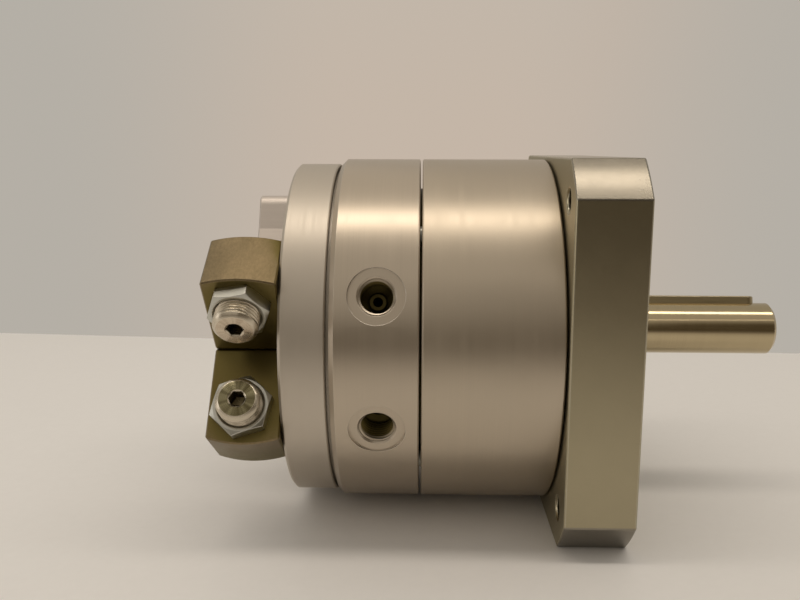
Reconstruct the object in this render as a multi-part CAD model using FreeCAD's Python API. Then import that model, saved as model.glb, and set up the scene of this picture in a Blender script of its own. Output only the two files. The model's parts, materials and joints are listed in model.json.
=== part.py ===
import FreeCAD, Part
import math
import os
from FreeCAD import Vector

# Tandem rotary pneumatic actuator with a keyed output shaft and two adjustable end stops.
# Frame: origin at the centre of the flange's front mounting face, +X out along the output
# shaft, +Z up. The two air ports face -Y. All sizes are millimetres.
# "Bearing angles" are measured about the X axis from -Y (0 deg) up towards +Z (90 deg).

# ---- driving dimensions -------------------------------------------------------------
SHAFT_R = 8.0                 # output shaft, 16 mm
SHAFT_END_X = 52.0            # how far the shaft stands out of the flange
FLANGE_HALF = 53.5            # square flange, 107 mm
FLANGE_THICK = 19.3
FLANGE_CORNER_R = 69.0        # the four corners are turned to this radius
FLANGE_HOLE_SPACING = 85.0
FLANGE_HOLE_R = 3.3
COLLAR_R = 27.5
COLLAR_HEIGHT = 3.0
HOLE_LEAD = 0.5               # countersink at both ends of the flange holes
BODY_R = 52.5
COVER_R = 51.0
SHADOW_GAP = 0.6              # open joint left between neighbouring castings
HOUSING_LENGTH = 37.4         # one actuator module
COVER_THICK = 12.5
BORE_R = 39.5                 # vane chamber
CHAMBER_LENGTH = 20.0
EDGE = 0.4                    # ordinary broken edge
SEAL_EDGE = 0.2               # broken edge of seals and thin rings
RING_EDGE = 0.3               # broken edge of the bearing rings
OVERRUN = 1.0                 # how far a cutter runs past the face that it opens

# ---- stations along the shaft, front to rear ----------------------------------------
FLANGE_REAR = -FLANGE_THICK
FRONT_HOUSING_X = (FLANGE_REAR - SHADOW_GAP - HOUSING_LENGTH, FLANGE_REAR - SHADOW_GAP)
REAR_HOUSING_FRONT = FRONT_HOUSING_X[0] - SHADOW_GAP
REAR_HOUSING_REAR = REAR_HOUSING_FRONT - 23.7
REAR_HOUSING_BEVEL = 1.4
COVER_FRONT = REAR_HOUSING_REAR - 1.0
COVER_BEVEL = 0.8
COVER_NECK_R = 49.0
COVER_REAR = COVER_FRONT - COVER_THICK
FRONT_CHAMBER = (-43.5, -43.5 + CHAMBER_LENGTH)
REAR_CHAMBER = (-83.5, -83.5 + CHAMBER_LENGTH)
SPIGOT_R = BORE_R - 0.1
SEAT_R = 43.5                 # raised ring on which two castings meet
PARTITION_SPIGOT_LENGTH = 2.0 # how far the rear module plugs into the front one

# ---- rotor ----------------------------------------------------------------------------
ROTOR_R = 10.0                # shaft inside the vane hubs
HUB_R = 14.0
RUNNING_CLEARANCE = 0.05
HUB_RUNNING_R = HUB_R + RUNNING_CLEARANCE
HUB_JOINT_X = -54.0           # the two vane hubs meet here
FRONT_HUB_END_X = -17.3
REAR_HUB_END_X = -86.0
FRONT_BOSS = ((FRONT_HUB_END_X, -17.0), 12.0)     # stations and radius of the land at each hub's
REAR_BOSS = ((-86.4, REAR_HUB_END_X), 10.6)       # outer end, which bears on an inner ring
VANE_THICK = 8.0
VANE_SIDE_SEAL = 1.2
VANE_TIP_SEAL = 1.5
VANE_SEAL_CLEARANCE = 0.1
VANE_TIP_R = BORE_R - 0.1
SEPARATOR_HALF_DEG = 17.0
SEPARATOR_HUB_CLEARANCE = 0.3
STRIP_WIDTH = 4.0             # sealing strip in each separator
STRIP_HEIGHT = 4.2
STRIP_CLEARANCE = 0.1
LEVER_DEG = 113.0             # where the stop lever and both vanes point at rest
OUTPUT_KEY_DEG = 105.0         # the output key points slightly behind the top
KEY_WIDTH = 5.0
KEY_SEAT = 5.0
KEY_EDGE = 0.25
KEY_SLOT_HEIGHT = 6.0         # cutters for keyways stand higher than the keys
OUTPUT_KEY_X = (7.5, 47.5)
SMALL_KEY = 4.0               # width and height of the three inner keys
VANE_KEY_SEAT = 7.5
VANE_KEYS_X = ((-80.0, -67.0), (-40.0, -27.0))
SHAFT_TIP_CHAMFER = 0.9
SHAFT_STEP_FRONT = -3.7       # the shaft grows to the rotor radius here
SHAFT_STEP_REAR = -86.4       # and steps down to the rear bearing seat here
SHAFT_REAR_SEAT_R = 8.5
SHAFT_LEVER_STEP = -95.2
END_THREAD_R = 2.1            # M5 thread in the front end of the shaft
END_THREAD_DEPTH = 14.0
END_THREAD_LEAD = 1.1
LEVER_THREAD_R = 3.0
LEVER_THREAD_END = -94.0
# circlips on the shaft: outside r, inside r, rear face, front face, radius of the groove's floor
FRONT_CIRCLIP = dict(outer=12.2, inner=9.45, x0=-4.9, x1=-4.0, floor=9.4)
REAR_CIRCLIP = dict(outer=10.3, inner=8.05, x0=-94.35, x1=-93.45, floor=8.0)
CIRCLIP_SIDE = 0.05           # groove wider than its clip by this on each side

# ---- ball bearings: bore r, outside r, width, ball r, pitch r, balls, inner land, outer land
FRONT_BEARING = dict(bore=10.0, outside=21.0, x0=-17.0, width=12.0, ball=3.175,
                     pitch=15.5, count=9, inner_land=13.6, outer_land=17.4)
REAR_BEARING = dict(bore=8.5, outside=15.0, x0=-93.4, width=7.0, ball=1.75,
                    pitch=11.75, count=11, inner_land=10.8, outer_land=12.7)

TRACK_CLEARANCE = 0.06
POCKET_CLEARANCE = 0.08
CAGE_HALF_THICK = 0.6
CAGE_RIM = 0.7                # cage metal left beside each ball

# ---- fasteners and seals ------------------------------------------------------------
TIE_R = 45.5                  # pitch radius of the four M5 tie screws
TIE_DEGREES = (45.0, 135.0, 225.0, 315.0)
TIE_HOLE_R = 2.75
TIE_TAP_R = 2.55              # tapped end in the flange
TIE_TAP_END = -6.0
TIE_HEAD_R = 4.25
TIE_HEAD_LENGTH = 5.0
TIE_SINK_R = 4.6              # counterbore for each head in the cover
TIE_SHANK_R = 2.5
TIE_LENGTH = 82.0
TIE_SOCKET = 4.0
PASSAGE_R = 2.0
PASSAGE_AT_R = 34.5
PASSAGE_DEG = 22.5
SEAL_POCKET_R = 18.0
SEAL_WIDTH = 2.5
JOINT_SPIGOT_R = 40.9         # the two housings centre on each other here
JOINT_POCKET_DEPTH = 1.5
DOWEL_R = 2.5
DOWEL_AT_R = 27.0
DOWEL_X = (-81.0, -26.0)
BUSH_R = 16.0
BUSH_X = (-60.8, -46.2)
BEARING_LIP_R = 15.0          # shoulders behind both outer rings
REAR_OPENING_R = 12.7
REAR_SEAL_X = -86.2
FRONT_SEAL_X = -18.6
# static seals: pitch radius, section radius, station, and the groove each lies in
FRONT_O_RING = (SPIGOT_R - 0.95, 1.0, -21.4)
FRONT_O_GROOVE = (SPIGOT_R + 1.0, SPIGOT_R - 2.0, -22.5, -20.3)
MIDDLE_O_RING = (39.2, 0.8, -56.75)
MIDDLE_O_GROOVE = (40.2, 38.2, 1.7)
REAR_O_RING = (41.3, 0.62, -82.25)
REAR_O_GROOVE = (42.2, 40.4, 1.3)

WIPER_R = 13.0
WIPER_POCKET_X = -3.5
WIPER_LEAD = 0.6
# lip seal section: (x, radius) of its outline, with the lip on the shaft added between the ends
WIPER_X = (-3.3, 1.6)
WIPER_BACK_R = 9.0
WIPER_FRONT_R = 9.6
WIPER_LIP_X = (-1.8, -1.2, -0.2, 0.4)
CLIP_GROOVE = 1.3
CLIP_THICK = 1.2
CLIP_R = (22.1, 18.6)
CLIP_GROOVE_DEPTH = 1.2
CLIP_GAP = (3.0, 7.0, 6.0)    # block removed where the clip is open
CLIP_GAP_AT = (-19.0, 17.0)

# ---- air ports (G1/8) ------------------------------------------------------------------
PORT_X = -69.1
PORT_DEG = 20.3
PORT_SPOT_R = 7.7
PORT_SPOT_HEIGHT = 51.6       # flat floor of the spot face, measured from the shaft axis
PORT_THREAD_R = 4.85
PORT_DEPTH = 8.4
PORT_ORIFICE_R = 1.3
PORT_LEAD = 0.45              # chamfer at the mouth of the thread
PORT_CONE = 1.2               # depth of the tapered floor
PORT_SEAT_R = 2.3             # raised seat ring around the orifice
PORT_SEAT_DROP = 0.35         # its top lies this far below the thread's end

# ---- end stops ----------------------------------------------------------------------------
STOP_TILT = 35.67             # the screws point this far below (above) the horizontal
STOP_FACE = 28.6              # face that carries the lock nut
STOP_BACK = 11.5              # face that looks at the lever
STOP_TOP = 47.75              # crest of the crowned outer end
STOP_CROWN_R = 31.4
STOP_REAR = -115.0
STOP_INNER_R = 25.0
STOP_JOINT_Z = 0.05           # half the line left between the two blocks
STOP_FOOT_DEPTH = 1.2
STOP_FOOT_ROOT = 1.0          # the foot starts this far inside its block
STOP_FOOT_CLEARANCE = 0.2
STOP_PAIR_TURN = 0.4          # the pair is clamped this far round from level
STOP_SCREW_X = -105.6
STOP_SCREW_B = 37.9           # radius at which the screw meets the lever
SLEEVE_R = 6.0                # M12 x 1
SLEEVE_LENGTH = 24.5
SLEEVE_HOLE_R = SLEEVE_R + 0.1
SLEEVE_SOCKET = 4.0
SLEEVE_SOCKET_DEPTH = 6.0
SLEEVE_END_CHAMFERS = (0.5, 1.0)                  # inner end, outer end
SLEEVE_OUTER_END = 37.3
BUFFER_R = 4.5
BUFFER_EDGE = 0.6
BUFFER_STANDS_OUT = 2.5
BUFFER_SEAT = 4.0
BUFFER_CLEARANCE = 0.05
NUT_FLATS = 15.0
NUT_THICK = 3.8
NUT_CLEARANCE = 0.02          # lets the nut turn on the face of its block
# rounding of the nut's six corners: how far it cuts in at both faces, and how deep along the nut
NUT_INNER_ROUNDING = (0.5, 0.35)
NUT_OUTER_ROUNDING = (0.2, 0.75)
NUT_LEAD = 0.5
NUT_TURN = {"upper": 9.4, "lower": 41.6}
CLAMP_A = 19.5                # place of the clamp screw in the block
CLAMP_B = 24.0
CLAMP_HOLE_R = 3.2
CLAMP_SINK_R = 5.25
CLAMP_SINK_DEPTH = 6.6
CLAMP_SHANK_R = 2.95
CLAMP_LENGTH = 19.0
M6_HEAD_R = 5.0
M6_HEAD_LENGTH = 6.0
M6_R = 3.0
M6_SOCKET = 5.0
SLOT_R = math.hypot(CLAMP_A, CLAMP_B)
SLOT_NECK_HALF = 3.25
SLOT_HALF = 5.5
SLOT_NECK_DEPTH = 3.2
SLOT_DEPTH = 7.2
SLOT_ENTRY_HALF_DEG = 13.0    # wide entry through which the T nuts go in
T_NUT_CLEARANCE = 0.3
T_NUT_HALF_DEG = 10.0

LEVER_X = (-109.6, -96.1)
LEVER_HALF_WIDTH = 8.75       # across the two parallel faces that strike the buffers
LEVER_FACE_START = 29.5       # radius where those faces begin; the flanks widen from here to the hub
LEVER_TIP_R = 42.0
LEVER_CORNER_R = 4.0
LEVER_HUB_R = 13.5
LEVER_REAR_SET_BACK = 0.6     # shaft end stays this far inside, so that the washer clamps the lever
LEVER_KEY_X = (-107.5, -98.0)
LEVER_KEY_SEAT = 4.5
LEVER_KEYWAY_R = 8.6
LEVER_SHAFT_R = 7.0
LEVER_SHAFT_CHAMFER = 0.6
LEVER_SCREW_LENGTH = 16.0
WASHER_R = 9.0
WASHER_HOLE_R = 3.2
WASHER_THICK = 1.6

X_AXIS = Vector(1, 0, 0)
ORIGIN = Vector(0, 0, 0)
UP = Vector(0, 0, 1)


# ---- helpers ------------------------------------------------------------------------------
def disc(radius, x0, x1, y=0.0, z=0.0):
    """A cylinder parallel to X between two stations."""
    return Part.makeCylinder(radius, x1 - x0, Vector(x0, y, z), X_AXIS)


def turned(points):
    """A lathe part: a closed outline of (x, radius) points spun about the shaft axis."""
    outline = [Vector(x, 0, r) for x, r in points]
    face = Part.Face(Part.makePolygon(outline + [outline[0]]))
    return face.revolve(ORIGIN, X_AXIS, 360)


def ring(outer, inner, x0, x1, edge=0.0):
    """A ring between two stations, with its four edges broken if an edge size is given."""
    if edge:
        return turned([(x0 + edge, outer), (x1 - edge, outer), (x1, outer - edge), (x1, inner + edge),
                       (x1 - edge, inner), (x0 + edge, inner), (x0, inner + edge), (x0, outer - edge)])
    return disc(outer, x0, x1).cut(disc(inner, x0 - OVERRUN, x1 + OVERRUN))


def cone(r0, r1, x0, x1, y=0.0, z=0.0):
    """A cone parallel to X whose radius runs from r0 to r1."""
    return Part.makeCone(r0, r1, x1 - x0, Vector(x0, y, z), X_AXIS)


def polar(radius, degrees):
    """(y, z) of a point at a bearing angle."""
    a = math.radians(degrees)
    return -radius * math.cos(a), radius * math.sin(a)


def turn_to(shape, degrees):
    """Turns a shape built pointing along +Z to a bearing angle."""
    turned_shape = shape.copy()
    turned_shape.rotate(ORIGIN, X_AXIS, 90.0 - degrees)
    return turned_shape


def segment(inner, outer, x0, x1, centre_deg, half_deg):
    """A piece of a ring that covers centre_deg plus and minus half_deg."""
    section = Part.makePlane(x1 - x0, outer - inner, Vector(x0, 0, inner), Vector(0, -1, 0), X_AXIS)
    face = Part.Face(section.Wires[0])
    face.rotate(ORIGIN, X_AXIS, 90.0 - centre_deg - half_deg)
    return face.revolve(ORIGIN, X_AXIS, 2 * half_deg)


def o_ring(pitch_r, section_r, x):
    return Part.makeTorus(pitch_r, section_r, Vector(x, 0, 0), X_AXIS)


def hexagon_prism(flats, centre, direction, length, first_corner):
    """A hexagonal prism whose first corner lies along the unit vector first_corner."""
    side = direction.cross(first_corner)
    corner_r = flats / math.sqrt(3)
    corners = []
    for k in range(6):
        a = math.radians(60 * k)
        corners.append(centre + (first_corner * math.cos(a) + side * math.sin(a)) * corner_r)
    face = Part.Face(Part.makePolygon(corners + [corners[0]]))
    return face.extrude(direction * length)


def socket_screw(head_r, head_length, shank_r, shank_length, hex_flats, head_start):
    """A socket head cap screw that points along +X, with the rear of its head at head_start."""
    c = EDGE
    end = head_length + shank_length
    screw = turned([(0, 0), (0, head_r - c), (c, head_r), (head_length, head_r), (head_length, shank_r),
                    (end - c, shank_r), (end, shank_r - c), (end, 0)])
    socket = hexagon_prism(hex_flats, ORIGIN, X_AXIS, 0.55 * head_length, UP)
    screw = screw.cut(socket)
    screw.translate(head_start)
    return screw


def save(name, *shapes):
    """Writes one node. Identical pieces share a node as separate solids."""
    solids = [s for shape in shapes for s in shape.Solids]
    shape = solids[0] if len(solids) == 1 else Part.makeCompound(solids)
    shape.exportStep(f"parts/{name}.step")
    print(name, len(solids), "solid(s)", round(shape.Volume / 1000, 2), "cm3", shape.isValid())


# ---- housings --------------------------------------------------------------------------------
def flange_plate():
    """Square plate whose corners are turned to a larger circle, with every outline edge broken."""
    side = 2 * FLANGE_HALF
    plate = Part.makeBox(FLANGE_THICK, side, side, Vector(FLANGE_REAR, -FLANGE_HALF, -FLANGE_HALF))
    r = FLANGE_CORNER_R
    corners = turned([(FLANGE_REAR, 0), (FLANGE_REAR, r - EDGE), (FLANGE_REAR + EDGE, r), (-EDGE, r),
                      (0, r - EDGE), (0, 0)])
    plate = plate.common(corners)
    sides = [e for e in plate.Edges if e.Length > 60 and e.BoundBox.XLength < 0.01]
    return plate.makeChamfer(EDGE, sides)


def front_flange():
    """Mounting plate with a centring collar, the front bearing seat and a spigot at the rear."""
    chamber = FRONT_CHAMBER[1]
    seat = FLANGE_REAR - SHADOW_GAP
    spigot = turned([(chamber, 0), (chamber, SPIGOT_R - EDGE), (chamber + EDGE, SPIGOT_R), (seat, SPIGOT_R),
                     (seat, SEAT_R), (FLANGE_REAR, SEAT_R), (FLANGE_REAR, 0)])
    collar = turned([(0, 0), (0, COLLAR_R), (COLLAR_HEIGHT - EDGE, COLLAR_R),
                     (COLLAR_HEIGHT, COLLAR_R - EDGE), (COLLAR_HEIGHT, 0)])
    flange = flange_plate().fuse([spigot, collar])
    bearing_r = FRONT_BEARING["outside"]
    bearing_rear = FRONT_BEARING["x0"]
    bearing_front = bearing_rear + FRONT_BEARING["width"]
    clip_rear = bearing_rear - CLIP_GROOVE
    groove_r = bearing_r + CLIP_GROOVE_DEPTH
    inside = turned([(chamber, 0), (chamber, bearing_r), (clip_rear, bearing_r),
                     (clip_rear, groove_r), (bearing_rear, groove_r),
                     (bearing_rear, bearing_r), (bearing_front, bearing_r), (bearing_front, BEARING_LIP_R),
                     (WIPER_POCKET_X, BEARING_LIP_R), (WIPER_POCKET_X, WIPER_R),
                     (COLLAR_HEIGHT - WIPER_LEAD, WIPER_R), (COLLAR_HEIGHT, WIPER_R + WIPER_LEAD),
                     (COLLAR_HEIGHT, 0)])
    cutters = [inside, ring(*FRONT_O_GROOVE)] + flange_bolt_holes()
    cutters += tie_holes(FLANGE_REAR - OVERRUN, TIE_TAP_END, TIE_TAP_R)
    save("front_flange", flange.cut(cutters))


def flange_bolt_holes():
    half = FLANGE_HOLE_SPACING / 2
    r = FLANGE_HOLE_R
    holes = []
    for y in (-half, half):
        for z in (-half, half):
            holes.append(disc(r, FLANGE_REAR - OVERRUN, OVERRUN, y, z))
            holes.append(cone(r + HOLE_LEAD, r, FLANGE_REAR, FLANGE_REAR + HOLE_LEAD, y, z))
            holes.append(cone(r, r + HOLE_LEAD, -HOLE_LEAD, 0, y, z))
    return holes


def tie_holes(x0, x1, radius=TIE_HOLE_R):
    return [disc(radius, x0, x1, *polar(TIE_R, degrees)) for degrees in TIE_DEGREES]


def dowel(x0, x1):
    """The dowel that holds both separators, on the ports' side of the shaft."""
    return disc(DOWEL_R, x0, x1, *polar(DOWEL_AT_R, 0))


def passages(x0, x1):
    """Air passages that join the two chambers, one each side of the separators."""
    return [disc(PASSAGE_R, x0, x1, *polar(PASSAGE_AT_R, side * PASSAGE_DEG)) for side in (-1, 1)]


def front_housing():
    """Cup of the front module, closed at the rear by the partition."""
    x0, x1 = FRONT_HOUSING_X
    floor = FRONT_CHAMBER[0]
    cup = turned([(x0, 0), (x0, BODY_R - EDGE), (x0 + EDGE, BODY_R), (x1 - EDGE, BODY_R),
                  (x1, BODY_R - EDGE), (x1, BORE_R), (floor, BORE_R), (floor, 0)])
    pocket_r = JOINT_SPIGOT_R + 0.1
    behind, inside = x0 - OVERRUN, floor + OVERRUN
    cutters = [disc(pocket_r, behind, x0 + JOINT_POCKET_DEPTH), disc(BUSH_R, behind, inside),
               disc(SEAL_POCKET_R, floor - SEAL_WIDTH, inside), dowel(behind, inside)]
    cutters += tie_holes(behind, x1 + OVERRUN) + passages(behind, x1)
    save("front_housing", cup.cut(cutters))


def port_cutters(sign):
    """Everything cut away for one G1/8 air port."""
    y, z = polar(1.0, sign * PORT_DEG)
    out = Vector(0, y, z)

    def bore(radius, low, high):
        return Part.makeCylinder(radius, high - low, Vector(PORT_X, 0, 0) + out * low, out)

    def taper(low_r, high_r, low, height):
        return Part.makeCone(low_r, high_r, height, Vector(PORT_X, 0, 0) + out * low, out)

    floor = PORT_SPOT_HEIGHT - PORT_DEPTH
    lead = PORT_LEAD
    cone_floor = taper(PORT_SEAT_R - 0.1, PORT_THREAD_R, floor - PORT_CONE, PORT_CONE)
    seat = bore(PORT_SEAT_R, floor - PORT_CONE - OVERRUN, floor - PORT_SEAT_DROP)
    return [bore(PORT_SPOT_R, PORT_SPOT_HEIGHT, BODY_R + OVERRUN),
            bore(PORT_THREAD_R, floor, PORT_SPOT_HEIGHT + 0.1),
            taper(PORT_THREAD_R, PORT_THREAD_R + lead, PORT_SPOT_HEIGHT - lead, lead),
            cone_floor.cut(seat),
            bore(PORT_ORIFICE_R, BORE_R - OVERRUN, floor)]


def rear_housing():
    """Cup of the rear module with both air ports; its partition plugs into the front module."""
    x0, x1 = REAR_HOUSING_REAR, REAR_HOUSING_FRONT
    front = x1 + PARTITION_SPIGOT_LENGTH
    floor = REAR_CHAMBER[1]
    bevel = REAR_HOUSING_BEVEL
    cup = turned([(x0, BORE_R), (x0, BODY_R - bevel), (x0 + bevel, BODY_R), (x1 - EDGE, BODY_R),
                  (x1, BODY_R - EDGE), (x1, SEAT_R), (x1 + SHADOW_GAP, SEAT_R),
                  (x1 + SHADOW_GAP, JOINT_SPIGOT_R), (front, JOINT_SPIGOT_R), (front, 0),
                  (floor, 0), (floor, BORE_R)])
    inside, ahead = floor - OVERRUN, front + OVERRUN
    groove_outer, groove_inner, groove_depth = MIDDLE_O_GROOVE
    cutters = [disc(BUSH_R, inside, ahead), disc(SEAL_POCKET_R, inside, floor + SEAL_WIDTH),
               ring(groove_outer, groove_inner, front - groove_depth, ahead), dowel(inside, ahead)]
    cutters += tie_holes(x0 - OVERRUN, ahead) + passages(x0, ahead)
    for sign in (-1, 1):
        cutters += port_cutters(sign)
    save("rear_housing", cup.cut(cutters))


def rear_cover():
    """Disc that closes the rear chamber; an annular T slot in its rear face carries the stops."""
    x0, x1 = COVER_REAR, COVER_FRONT
    neck = REAR_HOUSING_REAR
    seat = REAR_BEARING["x0"]
    seat_front = seat + REAR_BEARING["width"]
    cover = turned([(x0, REAR_OPENING_R), (x0, COVER_R - COVER_BEVEL), (x0 + COVER_BEVEL, COVER_R),
                    (x1 - EDGE, COVER_R), (x1, COVER_R - EDGE), (x1, COVER_NECK_R), (neck, COVER_NECK_R),
                    (neck, BORE_R), (REAR_CHAMBER[0], BORE_R), (REAR_CHAMBER[0], SEAL_POCKET_R),
                    (seat_front, SEAL_POCKET_R), (seat_front, BEARING_LIP_R), (seat, BEARING_LIP_R),
                    (seat, REAR_OPENING_R)])
    mouth = x0 + SLOT_NECK_DEPTH
    inner, outer = SLOT_R - SLOT_HALF, SLOT_R + SLOT_HALF
    behind, ahead = x0 - OVERRUN, neck + OVERRUN
    groove_outer, groove_inner, groove_depth = REAR_O_GROOVE
    cutters = [ring(SLOT_R + SLOT_NECK_HALF, SLOT_R - SLOT_NECK_HALF, behind, mouth + 0.1),
               ring(outer, inner, mouth, x0 + SLOT_DEPTH),
               segment(inner, outer, behind, mouth + 0.1, 180.0, SLOT_ENTRY_HALF_DEG),
               ring(groove_outer, groove_inner, neck - groove_depth, ahead)]
    cutters += tie_holes(behind, ahead)
    cutters += tie_holes(behind, x0 + TIE_HEAD_LENGTH + 0.1, TIE_SINK_R)
    save("rear_cover", cover.cut(cutters))


# ---- bearings, bush and seals ----------------------------------------------------------------
def bearing(name, spec):
    """Deep groove ball bearing as four nodes: outer ring, inner ring, cage and balls."""
    x0, x1 = spec["x0"], spec["x0"] + spec["width"]
    middle = (x0 + x1) / 2
    track = Part.makeTorus(spec["pitch"], spec["ball"] + TRACK_CLEARANCE, Vector(middle, 0, 0), X_AXIS)
    outer_ring = ring(spec["outside"], spec["outer_land"], x0, x1, RING_EDGE)
    inner_ring = ring(spec["inner_land"], spec["bore"], x0, x1, RING_EDGE)
    save(f"{name}_bearing_outer_ring", outer_ring.cut(track))
    save(f"{name}_bearing_inner_ring", inner_ring.cut(track))
    cage_half = spec["ball"] + CAGE_RIM
    cage_outer, cage_inner = spec["pitch"] + CAGE_HALF_THICK, spec["pitch"] - CAGE_HALF_THICK
    cage = ring(cage_outer, cage_inner, middle - cage_half, middle + cage_half)
    balls, pockets = [], []
    for k in range(spec["count"]):
        y, z = polar(1.0, 360.0 * k / spec["count"])
        out = Vector(0, y, z)
        on_axis = Vector(middle, 0, 0)
        balls.append(Part.makeSphere(spec["ball"], on_axis + out * spec["pitch"]))
        pocket_r = spec["ball"] + POCKET_CLEARANCE
        pockets.append(Part.makeCylinder(pocket_r, cage_outer + OVERRUN, on_axis, out))
    save(f"{name}_bearing_cage", cage.cut(pockets))
    save(f"{name}_bearing_balls", *balls)


def hub_seal(name, outer, x0, x1):
    save(name, ring(outer, HUB_RUNNING_R, x0, x1, SEAL_EDGE))


def seals_and_bush():
    hub_seal("middle_bush", BUSH_R, *BUSH_X)
    hub_seal("front_rotor_seal", FRONT_BEARING["outside"], FRONT_CHAMBER[1], FRONT_SEAL_X)
    hub_seal("front_partition_seal", SEAL_POCKET_R, FRONT_CHAMBER[0] - SEAL_WIDTH, FRONT_CHAMBER[0])
    hub_seal("rear_partition_seal", SEAL_POCKET_R, REAR_CHAMBER[1], REAR_CHAMBER[1] + SEAL_WIDTH)
    hub_seal("rear_rotor_seal", SEAL_POCKET_R, REAR_SEAL_X, REAR_CHAMBER[0])
    lip_r = SHAFT_R + RUNNING_CLEARANCE
    rear, front = WIPER_X
    lip = WIPER_LIP_X
    save("shaft_wiper_seal", turned([(rear, WIPER_BACK_R), (rear, WIPER_R), (front, WIPER_R),
                                     (front, WIPER_FRONT_R), (lip[3], WIPER_FRONT_R), (lip[2], lip_r),
                                     (lip[1], lip_r), (lip[0], WIPER_BACK_R)]))
    save("front_o_ring", o_ring(*FRONT_O_RING))
    save("middle_o_ring", o_ring(*MIDDLE_O_RING))
    save("rear_o_ring", o_ring(*REAR_O_RING))
    clip = ring(*CLIP_R, FRONT_BEARING["x0"] - CLIP_THICK, FRONT_BEARING["x0"])
    gap_x, gap_z = CLIP_GAP_AT
    gap = Part.makeBox(*CLIP_GAP, Vector(gap_x, -CLIP_GAP[1] / 2, gap_z))
    save("bearing_retaining_ring", turn_to(clip.cut(gap), 180.0))


def separator_slot(x0, x1, width, height):
    """The slot for a sealing strip, or the strip before it is fitted to the hub."""
    return turn_to(Part.makeBox(x1 - x0, width, height, Vector(x0, -width / 2, HUB_R)), 0.0)


def separators():
    """One fixed wedge in each chamber, held by a long dowel, with a strip that seals it on the hub."""
    for name, (x0, x1) in (("front", FRONT_CHAMBER), ("rear", REAR_CHAMBER)):
        inner = HUB_R + SEPARATOR_HUB_CLEARANCE
        wedge = segment(inner, BORE_R, x0, x1, 0.0, SEPARATOR_HALF_DEG)
        slot = separator_slot(x0, x1, STRIP_WIDTH, STRIP_HEIGHT)
        save(f"{name}_separator", wedge.cut([slot, dowel(*DOWEL_X)]))
        strip = separator_slot(x0, x1, STRIP_WIDTH - STRIP_CLEARANCE, STRIP_HEIGHT - STRIP_CLEARANCE)
        save(f"{name}_separator_seal", strip.cut(disc(HUB_RUNNING_R, x0 - OVERRUN, x1 + OVERRUN)))
    save("separator_dowel", dowel(*DOWEL_X))


# ---- rotor ------------------------------------------------------------------------------------
def feather_key(width, height, x0, x1, seat):
    """Round-ended key lying along X whose underside is at height seat above the axis."""
    r = width / 2
    body = Part.makeBox(x1 - x0 - width, width, height, Vector(x0 + r, -r, seat))
    ends = [Part.makeCylinder(r, height, Vector(x, 0, seat), UP) for x in (x0 + r, x1 - r)]
    return body.fuse(ends).removeSplitter()


def small_key(x0, x1, seat, depth, degrees):
    """A 4 mm key, or the keyway for one, at a bearing angle."""
    return turn_to(feather_key(SMALL_KEY, depth, x0, x1, seat), degrees)


def circlip_groove(clip, shaft_r):
    return ring(shaft_r + OVERRUN, clip["floor"], clip["x0"] - CIRCLIP_SIDE, clip["x1"] + CIRCLIP_SIDE)


def shaft():
    """Output shaft: keyed front end, plain middle inside the vane hubs, stepped rear end."""
    tip, rear_end = SHAFT_END_X, LEVER_X[0] + LEVER_REAR_SET_BACK
    body = turned([(tip, 0), (tip, SHAFT_R - SHAFT_TIP_CHAMFER), (tip - SHAFT_TIP_CHAMFER, SHAFT_R),
                   (SHAFT_STEP_FRONT, SHAFT_R), (SHAFT_STEP_FRONT, ROTOR_R - RING_EDGE),
                   (SHAFT_STEP_FRONT - RING_EDGE, ROTOR_R), (SHAFT_STEP_REAR, ROTOR_R),
                   (SHAFT_STEP_REAR, SHAFT_REAR_SEAT_R), (SHAFT_LEVER_STEP, SHAFT_REAR_SEAT_R),
                   (SHAFT_LEVER_STEP, LEVER_SHAFT_R), (rear_end + LEVER_SHAFT_CHAMFER, LEVER_SHAFT_R),
                   (rear_end, LEVER_SHAFT_R - LEVER_SHAFT_CHAMFER), (rear_end, 0)])
    cutters = [turn_to(feather_key(KEY_WIDTH, KEY_SLOT_HEIGHT, *OUTPUT_KEY_X, KEY_SEAT), OUTPUT_KEY_DEG),
               small_key(*LEVER_KEY_X, LEVER_KEY_SEAT, KEY_SLOT_HEIGHT, LEVER_DEG + 180.0),
               circlip_groove(FRONT_CIRCLIP, ROTOR_R), circlip_groove(REAR_CIRCLIP, SHAFT_REAR_SEAT_R),
               disc(END_THREAD_R, tip - END_THREAD_DEPTH, tip + OVERRUN),
               cone(END_THREAD_R, END_THREAD_R + END_THREAD_LEAD, tip - END_THREAD_LEAD, tip),
               disc(LEVER_THREAD_R, rear_end - OVERRUN, LEVER_THREAD_END)]
    cutters += [small_key(*x, VANE_KEY_SEAT, KEY_SLOT_HEIGHT, LEVER_DEG) for x in VANE_KEYS_X]
    save("output_shaft", body.cut(cutters))
    clips = [ring(c["outer"], c["inner"], c["x0"], c["x1"]) for c in (FRONT_CIRCLIP, REAR_CIRCLIP)]
    save("shaft_retaining_rings", *clips)


def keys():
    key = feather_key(KEY_WIDTH, KEY_WIDTH, *OUTPUT_KEY_X, KEY_SEAT)
    top = KEY_SEAT + KEY_WIDTH
    rim = [e for e in key.Edges if e.BoundBox.ZMin > top - 0.01 and e.BoundBox.ZMax < top + 0.01]
    save("output_key", turn_to(key.makeChamfer(KEY_EDGE, rim), OUTPUT_KEY_DEG))
    save("vane_keys", *[small_key(*x, VANE_KEY_SEAT, SMALL_KEY, LEVER_DEG) for x in VANE_KEYS_X])
    save("lever_key", small_key(*LEVER_KEY_X, LEVER_KEY_SEAT, SMALL_KEY, LEVER_DEG + 180.0))


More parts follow.
